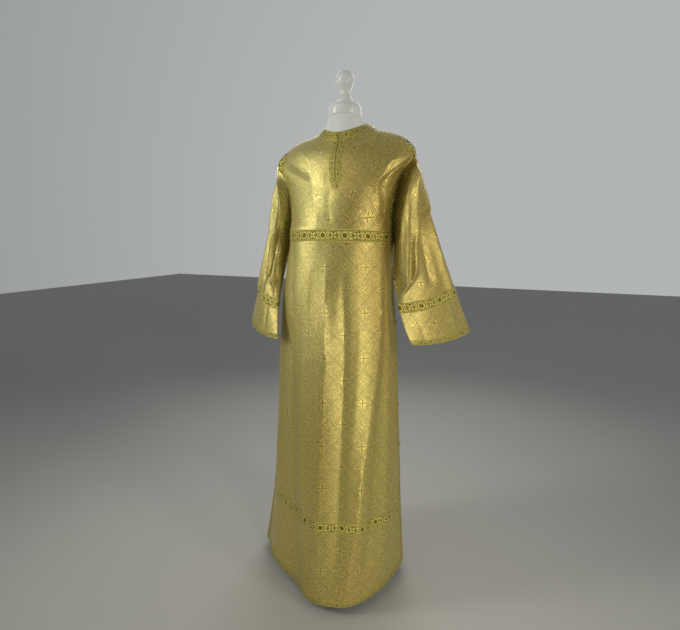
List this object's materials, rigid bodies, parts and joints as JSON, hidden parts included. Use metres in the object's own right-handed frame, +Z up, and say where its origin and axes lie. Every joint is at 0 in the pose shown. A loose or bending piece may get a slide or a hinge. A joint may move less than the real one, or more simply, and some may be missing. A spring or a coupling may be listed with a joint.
{
  "type": "sticharion on a dress form",
  "caption": "Long straight brocade vestment with wide open sleeves, worn by a limbless dress form on a pole and round base.",
  "frame": {"origin": "on the floor under the middle of the bounding box of the robe on its form", "axes": "+Z up, the robe's front faces -Y, +X is the wearer's left"},
  "size_m": [0.7326, 0.4754, 1.641],
  "materials": {
    "brocade": "woven brocade with a soft metallic sheen",
    "galloon": "woven metallic ribbon",
    "button": "small dark ball",
    "jersey": "smooth stretched white jersey",
    "painted_wood": "white satin paint",
    "painted_steel": "white satin paint"
  },
  "bodies": {
    "root": {"front_panel": "brocade", "back_panel": "brocade", "chest_band": "galloon", "hem_band_front": "galloon", "hem_trim_front": "galloon", "side_trim_front_right": "galloon", "side_trim_front_left": "galloon", "hem_band_back": "galloon", "hem_trim_back": "galloon", "side_trim_back_left": "galloon", "side_trim_back_right": "galloon", "collar_band": "galloon", "armhole_band_left": "galloon", "armhole_band_right": "galloon", "placket": "galloon", "sleeve_left": "brocade", "sleeve_band_left": "galloon", "cuff_trim_left": "galloon", "sleeve_right": "brocade", "sleeve_band_right": "galloon", "cuff_trim_right": "galloon", "side_button_right_1": "button", "side_button_left_1": "button", "side_button_right_2": "button", "side_button_left_2": "button", "side_button_right_3": "button", "side_button_left_3": "button", "side_button_right_4": "button", "side_button_left_4": "button", "side_button_right_5": "button", "side_button_left_5": "button", "neck_button": "button", "form_torso": "jersey", "form_cap": "painted_wood", "form_knob": "painted_wood", "form_pole": "painted_steel", "form_base": "painted_steel"}
  },
  "joints": []
}
